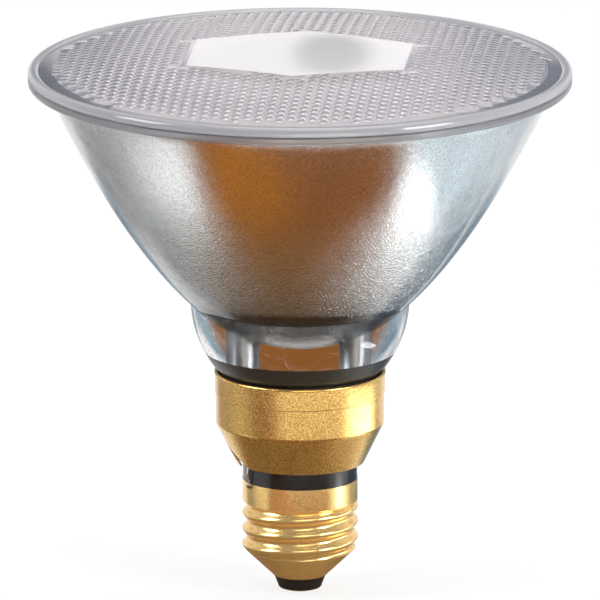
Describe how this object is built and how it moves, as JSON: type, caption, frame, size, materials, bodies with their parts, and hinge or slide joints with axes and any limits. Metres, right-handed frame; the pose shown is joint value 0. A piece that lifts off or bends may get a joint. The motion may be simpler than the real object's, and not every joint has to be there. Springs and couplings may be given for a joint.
{
  "type": "reflector lamp",
  "caption": "Sealed reflector lamp: silvered pressed-glass bowl, domed prismatic glass lens with a plain six-sided panel, thick glass neck and a skirted brass screw cap.",
  "frame": {"origin": "centre of the face of the cap's centre contact, which is the lamp's lowest point", "axes": "+Z along the lamp's axis towards the lens; -Y is the side that faces the camera; the filament lies along X"},
  "size_m": [0.1225, 0.1224, 0.1248],
  "materials": {
    "silvered_glass": "clear pressed glass with a bright mirror film inside",
    "pressed_glass": "clear pressed glass with small lens cells outside",
    "brass": "satin, drawn and rolled",
    "black_insulator": "glossy black",
    "cement": "dull cement",
    "solder": "dull solder",
    "lead_wire": "drawn wire",
    "ferrule_metal": "drawn sheet",
    "tungsten": "dull coil"
  },
  "bodies": {
    "root": {"reflector_bowl": "silvered_glass", "front_lens": "pressed_glass", "exhaust_tip": "pressed_glass", "cap_skirt": "brass", "screw_shell": "brass", "centre_contact": "brass", "insulator_ring": "black_insulator", "tip_insulator": "black_insulator", "basing_cement": "cement", "side_solder": "solder", "contact_solder": "solder", "side_lead": "lead_wire", "centre_lead": "lead_wire", "lead_post_left": "lead_wire", "lead_post_right": "lead_wire", "ferrule_left": "ferrule_metal", "ferrule_right": "ferrule_metal", "filament": "tungsten"}
  },
  "joints": []
}
